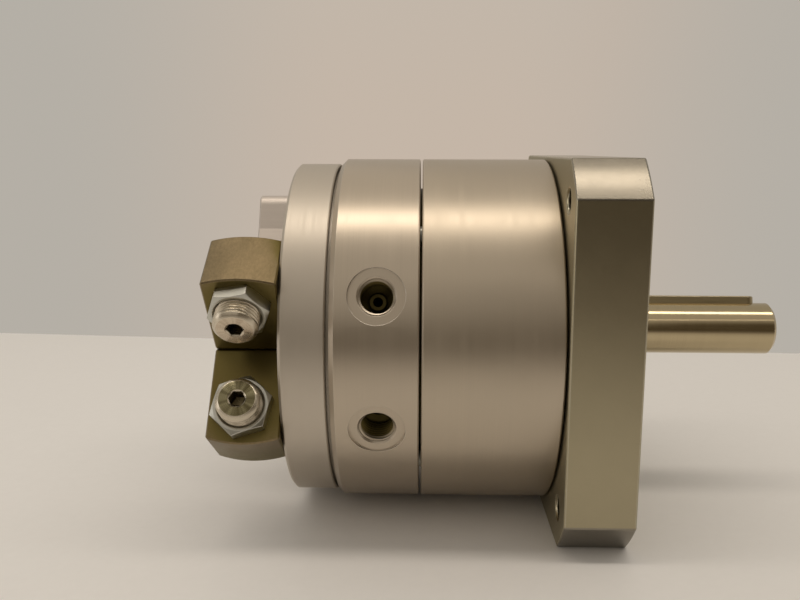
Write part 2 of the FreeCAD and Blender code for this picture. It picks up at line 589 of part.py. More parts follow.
def vane(name, chamber, hub_x, boss_x, boss_r):
    """Hub with one blade, and the seal frame that runs round the blade's three free edges."""
    x0, x1 = chamber
    half = VANE_THICK / 2
    hub = ring(HUB_R, ROTOR_R, *hub_x)
    boss = ring(boss_r, ROTOR_R, *boss_x)
    blade_x = x0 + VANE_SIDE_SEAL
    blade = Part.makeBox(x1 - x0 - 2 * VANE_SIDE_SEAL, VANE_THICK, VANE_TIP_R, Vector(blade_x, -half, 0))
    blade = blade.common(disc(VANE_TIP_R - VANE_TIP_SEAL, x0, x1))
    gap = VANE_SEAL_CLEARANCE
    frame = Part.makeBox(x1 - x0 - 2 * gap, VANE_THICK, VANE_TIP_R, Vector(x0 + gap, -half, 0))
    hub_space = disc(HUB_RUNNING_R + gap, x0 - OVERRUN, x1 + OVERRUN)
    frame = frame.common(disc(VANE_TIP_R, x0, x1)).cut([blade, hub_space])
    start, length = hub_x[0] - OVERRUN, hub_x[1] - hub_x[0] + 2 * OVERRUN
    keyway_top = VANE_KEY_SEAT + SMALL_KEY + RUNNING_CLEARANCE
    keyway = Part.makeBox(length, SMALL_KEY, keyway_top, Vector(start, -SMALL_KEY / 2, 0))
    bore = disc(ROTOR_R, start, start + length)
    rotor = hub.fuse([boss, blade]).cut([bore, keyway])
    save(f"{name}_vane", turn_to(rotor, LEVER_DEG))
    save(f"{name}_vane_seal", turn_to(frame, LEVER_DEG))


def lever_outline(x):
    """Right half from the tip to the hub, then its mirror image: (y, z) in the plane X = x."""
    w, tip, r = LEVER_HALF_WIDTH, LEVER_TIP_R, LEVER_CORNER_R
    corner_y = w - r
    corner_z = math.sqrt((tip - r) ** 2 - corner_y ** 2)
    tip_angle = math.atan2(corner_y, corner_z)
    tip_end = Vector(x, tip * math.sin(tip_angle), tip * math.cos(tip_angle))
    half_turn = (math.pi / 2 + tip_angle) / 2
    corner_middle = Vector(x, corner_y + r * math.sin(half_turn), corner_z + r * math.cos(half_turn))
    shoulder = Vector(x, w, LEVER_FACE_START)
    reach = math.hypot(w, LEVER_FACE_START)
    hub_angle = math.atan2(LEVER_FACE_START, w) - math.acos(LEVER_HUB_R / reach)
    hub_point = Vector(x, LEVER_HUB_R * math.cos(hub_angle), LEVER_HUB_R * math.sin(hub_angle))

    def other(p):
        return Vector(p.x, -p.y, p.z)

    corner_end = Vector(x, w, corner_z)
    half = [(tip_end, corner_middle, corner_end), (corner_end, None, shoulder), (shoulder, None, hub_point)]
    edges = [Part.Arc(other(tip_end), Vector(x, 0, tip), tip_end)]
    for start, middle, end in half:
        edges.append(Part.Arc(start, middle, end) if middle else Part.LineSegment(start, end))
    edges.append(Part.Arc(hub_point, Vector(x, 0, -LEVER_HUB_R), other(hub_point)))
    for start, middle, end in reversed(half):
        if middle:
            edges.append(Part.Arc(other(end), other(middle), other(start)))
        else:
            edges.append(Part.LineSegment(other(end), other(start)))
    return Part.Wire([e.toShape() for e in edges])


def stop_lever():
    """Lever on the rear end of the shaft that strikes the two buffers."""
    x0, x1 = LEVER_X
    lever = Part.Face(lever_outline(x0)).extrude(Vector(x1 - x0, 0, 0))
    rims = [e for e in lever.Edges if e.BoundBox.XLength < 0.01]
    lever = lever.makeChamfer(EDGE, rims)
    start, length = x0 - OVERRUN, x1 - x0 + 2 * OVERRUN
    keyway = Part.makeBox(length, SMALL_KEY, SMALL_KEY, Vector(start, -SMALL_KEY / 2, -LEVER_KEYWAY_R))
    lever = lever.cut([disc(LEVER_SHAFT_R, start, start + length), keyway])
    washer_rear = x0 - WASHER_THICK
    save("stop_lever", turn_to(lever, LEVER_DEG))
    save("lever_washer", ring(WASHER_R, WASHER_HOLE_R, washer_rear, x0, SEAL_EDGE))
    head = Vector(washer_rear - M6_HEAD_LENGTH, 0, 0)
    save("lever_screw", socket_screw(M6_HEAD_R, M6_HEAD_LENGTH, M6_R, LEVER_SCREW_LENGTH, M6_SOCKET, head))


# ---- end stops -----------------------------------------------------------------------------------
TILT = math.radians(STOP_TILT)
OUTWARD = Vector(0, -math.cos(TILT), -math.sin(TILT))      # along the upper stop screw, away from the lever
RADIAL = Vector(0, -math.sin(TILT), math.cos(TILT))        # along the upper block, away from the shaft


def at(a, b, x=0.0):
    """A point given along the upper stop screw (a), along the block (b) and along the shaft (x)."""
    return OUTWARD * a + RADIAL * b + X_AXIS * x


def for_side(shape, side):
    """Everything is built for the upper stop; the lower one is its mirror image."""
    placed = shape.copy() if side == "upper" else shape.mirror(ORIGIN, UP)
    placed.rotate(ORIGIN, X_AXIS, -STOP_PAIR_TURN)
    return placed


def block_outline(joint_z):
    """Side view of the upper block, in the plane X = 0, with its outer end left square."""
    inner_b = math.sqrt(STOP_INNER_R ** 2 - STOP_BACK ** 2)
    valley_b = (joint_z + STOP_FACE * math.sin(TILT)) / math.cos(TILT)
    inner_start = at(STOP_BACK, inner_b)
    inner_end = Vector(0, -math.sqrt(STOP_INNER_R ** 2 - joint_z ** 2), joint_z)
    middle = (inner_start + inner_end).normalize() * STOP_INNER_R
    top_face = at(STOP_FACE, STOP_TOP + 1.0)
    top_back = at(STOP_BACK, STOP_TOP + 1.0)
    valley = at(STOP_FACE, valley_b)
    edges = [Part.LineSegment(top_face, top_back), Part.LineSegment(top_back, inner_start),
             Part.Arc(inner_start, middle, inner_end), Part.LineSegment(inner_end, valley),
             Part.LineSegment(valley, top_face)]
    return Part.Face(Part.Wire([e.toShape() for e in edges]))


def stop_block(side):
    """Block with a crowned outer end, a bore for the stop screw and a foot in the cover's slot."""
    x0, x1 = STOP_REAR, COVER_REAR
    outline = block_outline(STOP_JOINT_Z)
    block = outline.extrude(X_AXIS * (x1 - x0))
    block.translate(X_AXIS * x0)
    crown_b = STOP_TOP - STOP_CROWN_R
    crown = Part.makeCylinder(STOP_CROWN_R, 60, at(-10, crown_b, (x0 + x1) / 2), OUTWARD)
    below = Part.makeBox(x1 - x0, 120, 60, Vector(x0, -60, crown_b + 1 - 60))
    below.rotate(ORIGIN, X_AXIS, STOP_TILT)
    block = block.common(crown.fuse(below)).removeSplitter()
    outer = [e for e in block.Edges if e.Length > 5 and math.hypot(e.CenterOfMass.y, e.CenterOfMass.z) > 30]
    block = block.makeChamfer(EDGE, outer)
    foot_x = (x1 - STOP_FOOT_ROOT, x1 + STOP_FOOT_DEPTH)
    foot = outline.extrude(X_AXIS * (foot_x[1] - foot_x[0]))
    foot.translate(X_AXIS * foot_x[0])
    foot_half = SLOT_NECK_HALF - STOP_FOOT_CLEARANCE
    block = block.fuse(ring(SLOT_R + foot_half, SLOT_R - foot_half, *foot_x).common(foot))
    clamp = at(CLAMP_A, CLAMP_B)
    screw_hole = Part.makeCylinder(SLEEVE_HOLE_R, 60, at(-10, STOP_SCREW_B, STOP_SCREW_X), OUTWARD)
    behind = x0 - OVERRUN
    cutters = [screw_hole, disc(CLAMP_HOLE_R, behind, foot_x[1] + OVERRUN, clamp.y, clamp.z),
               disc(CLAMP_SINK_R, behind, x0 + CLAMP_SINK_DEPTH, clamp.y, clamp.z)]
    save(f"{side}_stop_block", for_side(block.cut(cutters), side))


def lay_along_screw(shape, a):
    """Moves a shape built along +X from the origin onto the stop screw's axis, at distance a."""
    placed = shape.copy()
    placed.rotate(ORIGIN, X_AXIS.cross(OUTWARD), 90)
    placed.translate(at(a, STOP_SCREW_B, STOP_SCREW_X))
    return placed


def lock_nut(side):
    """Thin hexagon nut with chamfered corners that locks the stop screw."""
    start = STOP_FACE + NUT_CLEARANCE
    turn = math.radians(NUT_TURN[side])
    corner = X_AXIS * math.cos(turn) + RADIAL * math.sin(turn)
    nut = hexagon_prism(NUT_FLATS, at(start, STOP_SCREW_B, STOP_SCREW_X), OUTWARD, NUT_THICK, corner)
    corner_r = NUT_FLATS / math.sqrt(3)
    full_r = corner_r + 0.1
    inner_cut, inner_length = NUT_INNER_ROUNDING
    outer_cut, outer_length = NUT_OUTER_ROUNDING
    rounding = turned([(0, 0), (0, corner_r - inner_cut), (inner_length, full_r),
                       (NUT_THICK - outer_length, full_r), (NUT_THICK, NUT_FLATS / 2 - outer_cut),
                       (NUT_THICK, 0)])
    lead = cone(SLEEVE_HOLE_R, SLEEVE_HOLE_R + NUT_LEAD, NUT_THICK - NUT_LEAD, NUT_THICK)
    hole = disc(SLEEVE_HOLE_R, -OVERRUN, NUT_THICK + OVERRUN).fuse(lead)
    nut = nut.common(lay_along_screw(rounding, start)).cut(lay_along_screw(hole, start))
    save(f"{side}_lock_nut", for_side(nut, side))


def stop_screw(side):
    """Threaded sleeve with a hexagon socket outside and an elastomer buffer in its inner end."""
    inner_end = SLEEVE_OUTER_END - SLEEVE_LENGTH
    socket_floor = X_AXIS * (SLEEVE_LENGTH - SLEEVE_SOCKET_DEPTH)
    socket = hexagon_prism(SLEEVE_SOCKET, socket_floor, X_AXIS, SLEEVE_SOCKET_DEPTH + OVERRUN, UP)
    inner_c, outer_c = SLEEVE_END_CHAMFERS
    sleeve = turned([(0, 0), (0, SLEEVE_R - inner_c), (inner_c, SLEEVE_R),
                     (SLEEVE_LENGTH - outer_c, SLEEVE_R), (SLEEVE_LENGTH, SLEEVE_R - outer_c),
                     (SLEEVE_LENGTH, 0)])
    pocket = disc(BUFFER_R + BUFFER_CLEARANCE, -OVERRUN, BUFFER_SEAT + BUFFER_CLEARANCE)
    sleeve = sleeve.cut([pocket, socket])
    nose = -BUFFER_STANDS_OUT
    buffer = turned([(nose, 0), (nose, BUFFER_R - BUFFER_EDGE), (nose + BUFFER_EDGE, BUFFER_R),
                     (BUFFER_SEAT, BUFFER_R), (BUFFER_SEAT, 0)])
    save(f"{side}_stop_sleeve", for_side(lay_along_screw(sleeve, inner_end), side))
    save(f"{side}_stop_buffer", for_side(lay_along_screw(buffer, inner_end), side))


def stop_clamp(side):
    """Screw and T nut that clamp one stop block to the cover."""
    clamp = at(CLAMP_A, CLAMP_B)
    head = Vector(STOP_REAR + CLAMP_SINK_DEPTH - M6_HEAD_LENGTH, clamp.y, clamp.z)
    screw = socket_screw(M6_HEAD_R, M6_HEAD_LENGTH, CLAMP_SHANK_R, CLAMP_LENGTH, M6_SOCKET, head)
    degrees = math.degrees(math.atan2(clamp.z, -clamp.y))
    nut_half = SLOT_HALF - T_NUT_CLEARANCE
    nut_rear = COVER_REAR + SLOT_NECK_DEPTH
    nut_front = COVER_REAR + SLOT_DEPTH - T_NUT_CLEARANCE
    nut = segment(SLOT_R - nut_half, SLOT_R + nut_half, nut_rear, nut_front, degrees, T_NUT_HALF_DEG)
    nut = nut.cut(disc(M6_R, nut_rear - OVERRUN, nut_front + OVERRUN, clamp.y, clamp.z))
    save(f"{side}_clamp_screw", for_side(screw, side))
    save(f"{side}_t_nut", for_side(nut, side))


def tie_screws():
    """Four long screws that hold the cover, both housings and the flange together."""
    heads = [Vector(COVER_REAR + 0.1, *polar(TIE_R, degrees)) for degrees in TIE_DEGREES]
    screw = socket_screw(TIE_HEAD_R, TIE_HEAD_LENGTH, TIE_SHANK_R, TIE_LENGTH, TIE_SOCKET, ORIGIN)
    save("tie_screws", *[screw.translated(head) for head in heads])


def main():
    os.makedirs("parts", exist_ok=True)
    front_flange()
    front_housing()
    rear_housing()
    rear_cover()
    bearing("front", FRONT_BEARING)
    bearing("rear", REAR_BEARING)
    seals_and_bush()
    separators()
    shaft()
    keys()
    vane("front", FRONT_CHAMBER, (HUB_JOINT_X, FRONT_HUB_END_X), *FRONT_BOSS)
    vane("rear", REAR_CHAMBER, (REAR_HUB_END_X, HUB_JOINT_X), *REAR_BOSS)
    stop_lever()
    tie_screws()
    for side in ("upper", "lower"):
        stop_block(side)
        lock_nut(side)
        stop_screw(side)
        stop_clamp(side)


main()
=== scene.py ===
"""Looks for a rotary pneumatic actuator: materials, screw threads, light and camera around the frame."""

import json
import math

import bpy
from mathutils import Matrix, Vector


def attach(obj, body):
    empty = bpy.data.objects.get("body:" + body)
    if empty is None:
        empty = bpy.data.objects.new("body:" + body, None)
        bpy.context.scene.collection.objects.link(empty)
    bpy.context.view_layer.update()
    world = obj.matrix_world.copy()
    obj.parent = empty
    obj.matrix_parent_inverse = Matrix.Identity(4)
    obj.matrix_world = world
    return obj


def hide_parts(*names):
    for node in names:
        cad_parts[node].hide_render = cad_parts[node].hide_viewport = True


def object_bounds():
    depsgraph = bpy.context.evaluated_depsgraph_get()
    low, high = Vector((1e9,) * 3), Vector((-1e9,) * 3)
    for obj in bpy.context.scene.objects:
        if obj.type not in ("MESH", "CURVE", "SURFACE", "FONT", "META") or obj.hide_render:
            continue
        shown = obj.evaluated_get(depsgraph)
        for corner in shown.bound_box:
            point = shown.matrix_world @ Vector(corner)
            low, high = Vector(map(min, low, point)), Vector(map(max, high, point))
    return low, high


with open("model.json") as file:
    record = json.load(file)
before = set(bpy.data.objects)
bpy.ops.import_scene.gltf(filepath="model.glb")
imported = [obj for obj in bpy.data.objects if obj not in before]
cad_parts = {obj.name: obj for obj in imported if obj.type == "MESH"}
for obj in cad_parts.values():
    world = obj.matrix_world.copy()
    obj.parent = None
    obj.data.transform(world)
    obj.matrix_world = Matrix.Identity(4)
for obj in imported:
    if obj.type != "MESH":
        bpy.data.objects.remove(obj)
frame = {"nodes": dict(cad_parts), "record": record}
cad_low, cad_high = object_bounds()
nodes = frame["nodes"]
joints = {joint["name"]: joint for joint in frame["record"]["behaviour"]["joints"]}
MM = 0.001

# ---- sizes shared with the CAD model, in millimetres --------------------------------
SLEEVE_R = 6.0
SLEEVE_LENGTH = 24.5
SLEEVE_SOCKET = 4.0                  # across the socket's flats
SLEEVE_POCKET_R = 4.55               # pocket of the buffer, in the inner end
SLEEVE_POCKET_DEPTH = 4.05
SLEEVE_OUTER_END = 37.3              # distance of the outer end from the shaft axis, along the screw
PORT_THREAD_R = 4.85
PORT_X = -69.1
PORT_DEG = 20.3                      # how far the ports point above and below the horizontal

# ---- threads, in millimetres ----------------------------------------------------------
SLEEVE_PITCH = 1.0
SLEEVE_THREAD_DEPTH = 0.50
SLEEVE_CHAMFER = 1.15                # at the outer end
SLEEVE_LEAD = 0.7                    # at the inner end
SOCKET_CORNER_R = SLEEVE_SOCKET / math.sqrt(3)
SOCKET_LEAD = (0.25, 0.45)           # cone at the socket's mouth: wider than the corners by, and depth
SOCKET_DEPTH = 5.0
SOCKET_TIP = (0.25, 6.0)             # radius and depth of the drill point below the hexagon
PORT_PITCH = 0.907
PORT_THREAD_SPAN = (43.6, 50.9)      # from the shaft axis
PORT_ROOT_R = PORT_THREAD_R + 0.03   # the ridge starts inside the wall
PORT_RIDGE_HEIGHT = 0.56
PORT_RIDGE_HALF = (0.36, 0.07)       # half the ridge's width at its root and at its crest

# ---- board and room, in metres --------------------------------------------------------
FLOOR_HALF_WIDTH = 2.5
FLOOR_NEAR = -3.0
FLOOR_FAR = (0.389, 0.007)           # far edge at the left and right ends, so that it runs aslant
SHADOW_FADE_SPAN = (-0.12, -0.47)          # painted shadow: the board dims between these places, towards the viewer's side
FADE_SOONER = 2.8                    # the painted shadow starts nearer on the shaft's side
FAR_SHADOW_SPAN = (-0.52, -0.80)           # and the painted shadow deepens between these
BOARD = ((0.85, 0.84, 0.83, 1), (0.89, 0.88, 0.87, 1))
# tone of the board's painted shadow, and of its deeper painted shadow further out
BOARD_SHADOW = (0.31, 0.285, 0.26, 1)
BOARD_FAR_SHADOW = (0.16, 0.14, 0.115, 1)
ROOM_FRONT = (0.10, 0.078, 0.05, 1)  # what the metal mirrors at eye height, on the viewer's side
ROOM_BACK = (0.555, 0.465, 0.385, 1)
ROOM_ENDS = (0.45, 0.425, 0.38, 1)   # wall to the left and right of the object
ROOM_HIGH = (0.525, 0.475, 0.41, 1)
# spans of the view direction's components over which one part of the room blends into the next
BACK_SPAN = (-0.7, 0.35)
HIGH_SPAN = (-0.05, 0.42)
RIGHT_SPAN = (0.14, 0.30)
RIGHT_RISE = 0.42                    # how much higher up the bright part starts on the shaft's side
ENDS_SPAN = (0.08, 0.42)
ENDS_SHARE = 0.9
WARM = (1.0, 0.90, 0.78)
DAYLIGHT = (1.0, 0.96, 0.93)

# ---- camera ---------------------------------------------------------------------------
CAMERA_PLACE = (-0.05717, -0.26230, 0.05563)
CAMERA_DEGREES = (-1.55, 10.23, -0.12)    # turn to the right, tilt down, roll
CAMERA_LENS = 37.67                       # mm, on a sensor 36 mm wide

# ---- tool marks, finishes and tones ----------------------------------------------------
TURNED = "turned"                    # marks that run round the shaft; other marks are stretch factors
ALONG_X = (0.03, 1.0, 1.0)
ALONG_Y = (1.0, 0.03, 1.0)
EVEN = (1.0, 1.0, 1.0)
NOISE_SPAN = (0.3, 0.7)              # what most of a noise pattern's values lie between
LATHE_DRIFT = 0.004                  # how fast the lathe marks change round the shaft
BROAD_MARKS = 0.13                   # scale of the broad marks, as a share of the fine ones
FINE_SHARE = 0.65
PATCH_SCALE = 38.0                   # dull patches
PATCH_SPAN = (0.42, 0.75)
PATCH_SHARE = 0.8
MARK_DARKENING = 2.2                 # how far contrast darkens and lightens the marks
MARK_LIGHTENING = 0.9
MARK_ROUGHNESS = 0.14                # how much the marks vary the roughness, either way
GRAIN_SCALE = 2600.0
# lighter edge tone: worn bare metal and a painted edge highlight
EDGE_WEAR_AND_HIGHLIGHT = (0.9, 0.88, 0.84, 1)
EDGE_WIDTH = 0.0003                  # metres
EDGE_SPAN = (0.995, 0.80)            # agreement of the rounded with the true normal
# painted shade in gaps, bores and inner corners: its tone, share and span
HOLLOW_SHADE = (0.012, 0.009, 0.006, 1)
HOLLOW_SHADE_SHARE = 0.92
HOLLOW_SHADE_SPAN = (0.40, 0.08)            # openness at which the painted shade starts and is deepest
# painted shade on faces that look into a corner
SHELTER_REACH = 0.03
SHELTER_SHARE = 0.85
SHELTER_SPAN = (0.95, 0.80)
CORNER_BLEND = 0.0002
BORE_SHADE = (0.13, 0.10, 0.035, 1)        # painted shade inside the ports
BORE_SHADE_DEEP = (0.055, 0.043, 0.014, 1)
BORE_SHADE_FROM = (0.0, 0.0016)            # metres below the mouth over which each tone of painted shade sets in
BORE_SHADE_DEEP_FROM = (0.0035, 0.006)
SCREW_RINGS = ((0.50, 0.44, 0.34, 1), (0.72, 0.65, 0.53, 1))
# painted shade inside the hexagon sockets
SCREW_SOCKET_SHADE = (0.17, 0.14, 0.08, 1)
QUARTER_TURN = 0.25                  # turns the stretch of the gloss by 90 degrees
SCREW_FACE_SHADE = {                       # darkest and lightest tone of the turned end face: painted shade, lighter on the upper screw than on the lower
    "upper": ((0.50, 0.41, 0.31, 1), (0.64, 0.55, 0.43, 1)),
    "lower": ((0.13, 0.11, 0.055, 1), (0.29, 0.26, 0.155, 1)),
}


# ---- node helpers ---------------------------------------------------------------------
class Nodes:
    """Short calls for the nodes used here, in one node tree."""

    def __init__(self, tree):
        self.tree = tree

    def add(self, kind, **settings):
        node = self.tree.nodes.new(kind)
        for key, value in settings.items():
            setattr(node, key, value)
        return node

    def feed(self, socket, value):
        if isinstance(value, bpy.types.NodeSocket):
            self.tree.links.new(value, socket)
        else:
            socket.default_value = value

    def math(self, operation, a, b=0.0, c=0.0, clamp=False):
        node = self.add("ShaderNodeMath", operation=operation, use_clamp=clamp)
        for socket, value in zip(node.inputs, (a, b, c)):
            self.feed(socket, value)
        return node.outputs[0]

    def vector_math(self, operation, a, b=None):
        node = self.add("ShaderNodeVectorMath", operation=operation)
        self.feed(node.inputs[0], a)
        if b is not None:
            self.feed(node.inputs["Scale" if operation == "SCALE" else 1], b)
        return node.outputs["Value" if operation in ("DOT_PRODUCT", "LENGTH") else "Vector"]

    def split(self, vector):
        node = self.add("ShaderNodeSeparateXYZ")
        self.feed(node.inputs[0], vector)
        return tuple(node.outputs)

    def join(self, x, y, z=0.0):
        node = self.add("ShaderNodeCombineXYZ")
        for socket, value in zip(node.inputs, (x, y, z)):
            self.feed(socket, value)
        return node.outputs[0]

    def noise(self, vector, scale, detail=3.0, roughness=0.6):
        node = self.add("ShaderNodeTexNoise")
        self.feed(node.inputs["Vector"], vector)
        for name, value in (("Scale", scale), ("Detail", detail), ("Roughness", roughness)):
            node.inputs[name].default_value = value
        return node.outputs["Fac"]

    def remap(self, value, low, high, to_low=0.0, to_high=1.0, kind="LINEAR"):
        node = self.add("ShaderNodeMapRange", interpolation_type=kind)
        self.feed(node.inputs["Value"], value)
        for name, number in (("From Min", low), ("From Max", high), ("To Min", to_low), ("To Max", to_high)):
            node.inputs[name].default_value = number
        return node.outputs["Result"]

    def smooth(self, value, span, top=1.0):
        return self.remap(value, *span, 0.0, top, kind="SMOOTHSTEP")

    def mix(self, factor, a, b):
        node = self.add("ShaderNodeMix", data_type="RGBA")
        for name, value in (("Factor", factor), ("A", a), ("B", b)):
            self.feed(node.inputs[name], value)
        return node.outputs["Result"]


class Shader(Nodes):
    """The node tree of one material."""

    def __init__(self, name):
        self.material = bpy.data.materials.new(name)
        self.material.use_nodes = True
        super().__init__(self.material.node_tree)
        self.inputs = self.tree.nodes["Principled BSDF"].inputs
        self.coordinates = self.add("ShaderNodeTexCoord").outputs["Object"]

    def bump(self, height, distance, normal=None):
        node = self.add("ShaderNodeBump")
        node.inputs["Distance"].default_value = distance
        node.inputs["Strength"].default_value = 1.0
        self.feed(node.inputs["Height"], height)
        if normal is not None:
            self.feed(node.inputs["Normal"], normal)
        return node.outputs["Normal"]

    def shaft_radius(self):
        _, y, z = self.split(self.coordinates)
        return self.math("SQRT", self.math("ADD", self.math("POWER", y, 2.0), self.math("POWER", z, 2.0)))

    def lathe_space(self):
        """(along, radius, slow drift) coordinates about the shaft, in which noise becomes lathe marks."""
        x, y, _ = self.split(self.coordinates)
        return self.join(x, self.shaft_radius(), self.math("MULTIPLY", y, LATHE_DRIFT))

    def about_line(self, point, direction):
        """(distance along, radius, radial vector) about any line, for turned pieces that lie aslant."""
        offset = self.vector_math("SUBTRACT", self.coordinates, point)
        along = self.vector_math("DOT_PRODUCT", offset, direction)
        radial = self.vector_math("SUBTRACT", offset, self.vector_math("SCALE", direction, along))
        return along, self.vector_math("LENGTH", radial), radial

    def openness(self, reach, samples):
        """1 on open faces, lower where other surfaces stand within reach."""
        occlusion = self.add("ShaderNodeAmbientOcclusion", samples=samples)
        occlusion.inputs["Distance"].default_value = reach
        return occlusion.outputs["AO"]

    def edge_mask(self, width):
        """(1 on sharp outer edges, fading to 0 within the given width; normal that rounds them off)."""
        bevel = self.add("ShaderNodeBevel", samples=10)
        bevel.inputs["Radius"].default_value = width
        true_normal = self.add("ShaderNodeNewGeometry").outputs["Normal"]
        agreement = self.vector_math("DOT_PRODUCT", bevel.outputs[0], true_normal)
        return self.remap(agreement, *EDGE_SPAN), bevel.outputs[0]


def shaded(color, factor):
    return tuple(min(1, c * factor) for c in color) + (1,)


class Metal(Shader):
    """Bare metal with tool marks. Worn edges with a painted highlight, painted shade and local finishes lie
    over it in the order of the calls.
    """

    def __init__(self, name, color, roughness, marks, scale, contrast=0.12, smudge=0.10, patina=None):
        super().__init__(name)
        self.turned = marks == TURNED
        self.roughness = roughness
        self.rounded = None
        space = self.lathe_space() if self.turned else self.vector_math("MULTIPLY", self.coordinates, marks)
        self.lines = self.tool_marks(space, scale)
        patches = self.noise(self.coordinates, PATCH_SCALE, 4.0, 0.65)
        dark = shaded(color, 1 - contrast * MARK_DARKENING)
        light = shaded(color, 1 + contrast * MARK_LIGHTENING)
        tone = self.mix(self.remap(self.lines, *NOISE_SPAN), dark, light)
        dull = patina or shaded(color, 1 - smudge)
        self.tone = self.mix(self.math("MULTIPLY", self.remap(patches, *PATCH_SPAN), PATCH_SHARE), tone, dull)
        on_marks = self.remap(self.lines, *NOISE_SPAN, roughness * (1 - MARK_ROUGHNESS),
                              roughness * (1 + MARK_ROUGHNESS))
        on_patches = self.remap(patches, 0.4, 0.8, 0.0, smudge * 0.6)
        self.rough = self.math("ADD", on_marks, on_patches)

    def tool_marks(self, space, scale):
        fine = self.noise(space, scale, 2.0, 0.7)
        broad = self.noise(space, scale * BROAD_MARKS, 2.0, 0.5)
        return self.math("ADD", self.math("MULTIPLY", fine, FINE_SHARE),
                         self.math("MULTIPLY", broad, 1 - FINE_SHARE))

    def wear_and_highlight_edges(self, strength, color=EDGE_WEAR_AND_HIGHLIGHT, width=EDGE_WIDTH):
        """Lighter, rounded outer edges: worn bare metal with a painted edge highlight."""
        mask, self.rounded = self.edge_mask(width)
        self.tone = self.mix(self.math("MULTIPLY", mask, strength, clamp=True), self.tone, color)

    def refinish(self, mask, roughness):
        """Another roughness where the mask is 1."""
        change = self.math("MULTIPLY", mask, roughness - self.roughness)
        self.rough = self.math("ADD", self.rough, change)

    def turn_corners(self, radius, color, roughness):
        """Another finish on the corners that are turned off at this radius: another roughness, and a darker
        tone that is painted shade damping their highlight.
        """
        outside = self.remap(self.shaft_radius(), radius, radius + CORNER_BLEND)
        self.tone = self.mix(outside, self.tone, color)
        self.refinish(outside, roughness)

    def matte_rear(self, station, roughness):
        """Another roughness behind a station on the shaft axis."""
        x, _, _ = self.split(self.coordinates)
        self.refinish(self.math("LESS_THAN", x, station), roughness)

    def paint_corner_shade(self, color):
        """Painted shade on faces that look into a corner of the object."""
        within = self.remap(self.openness(SHELTER_REACH, 10), *SHELTER_SPAN)
        self.tone = self.mix(self.math("MULTIPLY", within, SHELTER_SHARE), self.tone, color)

    def paint_hollow_shade(self, reach):
        """Painted shade deep in gaps, bores and inner corners."""
        deep = self.remap(self.openness(reach, 6), *HOLLOW_SHADE_SPAN)
        self.tone = self.mix(self.math("MULTIPLY", deep, HOLLOW_SHADE_SHARE), self.tone, HOLLOW_SHADE)

    def paint_bore_shade(self, mouth):
        """Painted shade below the mouths of the radial bores, which lie at this radius, darker deeper down.
        """
        depth = self.math("SUBTRACT", mouth, self.shaft_radius())
        self.tone = self.mix(self.remap(depth, *BORE_SHADE_FROM), self.tone, BORE_SHADE)
        self.tone = self.mix(self.remap(depth, *BORE_SHADE_DEEP_FROM), self.tone, BORE_SHADE_DEEP)

    def done(self, depth, anisotropy=0.0, grain=0.0):
        """The material, with tool marks of the given depth and an optional fine grain."""
        self.feed(self.inputs["Base Color"], self.tone)
        self.feed(self.inputs["Roughness"], self.rough)
        self.inputs["Metallic"].default_value = 1.0
        self.inputs["Anisotropic"].default_value = anisotropy
        if anisotropy and self.turned:
            tangent = self.add("ShaderNodeTangent", direction_type="RADIAL", axis="X")
            self.feed(self.inputs["Tangent"], tangent.outputs[0])
            self.inputs["Anisotropic Rotation"].default_value = QUARTER_TURN
        normal = self.bump(self.lines, depth, self.rounded)
        if grain:
            normal = self.bump(self.noise(self.coordinates, GRAIN_SCALE, 3.0, 0.7), grain, normal)
        self.feed(self.inputs["Normal"], normal)
        return self.material


# ---- materials -------------------------------------------------------------------------
def front_housing_metal():
    s = Metal("turned_aluminium", (0.54, 0.47, 0.375), 0.40, TURNED, 3600.0, contrast=0.025, smudge=0.04)
    s.wear_and_highlight_edges(0.5)
    s.paint_hollow_shade(0.0009)
    return s.done(7e-7, anisotropy=0.5, grain=7e-7)


def rear_housing_metal():
    s = Metal("turned_aluminium_fine", (0.54, 0.47, 0.38), 0.35, TURNED, 3600.0, contrast=0.025, smudge=0.04)
    s.wear_and_highlight_edges(0.6, width=0.00018)
    s.paint_hollow_shade(0.0008)
    s.paint_bore_shade(0.0510)
    return s.done(5e-7, anisotropy=0.5, grain=5e-7)


def cover_metal():
    s = Metal("matte_aluminium", (0.585, 0.53, 0.455), 0.47, TURNED, 2800.0, contrast=0.015, smudge=0.04)
    s.wear_and_highlight_edges(0.3)
    s.paint_hollow_shade(0.0016)
    return s.done(4e-7, anisotropy=0.3, grain=1.2e-6)


def flange_metal():
    s = Metal("satin_flange", (0.395, 0.350, 0.238), 0.20, EVEN, 1400.0, contrast=0.03, smudge=0.05)
    s.wear_and_highlight_edges(0.9, width=0.0004)
    # turned corners: their darker tone is painted shade that damps their highlight
    s.turn_corners(0.0686, (0.275, 0.25, 0.205, 1), 0.24)
    s.matte_rear(-0.0191, 0.48)
    s.paint_hollow_shade(0.0004)
    return s.done(5e-7, grain=1.4e-6)


def shaft_metal():
    s = Metal("ground_steel", (0.53, 0.44, 0.28), 0.13, TURNED, 2600.0, contrast=0.04, smudge=0.06)
    s.wear_and_highlight_edges(0.4)
    s.paint_hollow_shade(0.0015)
    return s.done(3e-7, anisotropy=0.3)


def stop_block_metal():
    s = Metal("browned_steel", (0.27, 0.205, 0.115), 0.34, ALONG_Y, 1500.0, smudge=0.18,
              patina=(0.19, 0.15, 0.085, 1))
    s.wear_and_highlight_edges(0.55, color=(0.42, 0.36, 0.29, 1), width=0.00025)
    # painted shade on the faces that look into the V
    s.paint_corner_shade((0.15, 0.12, 0.035, 1))
    s.paint_hollow_shade(0.002)
    return s.done(1.6e-6, grain=8e-7)


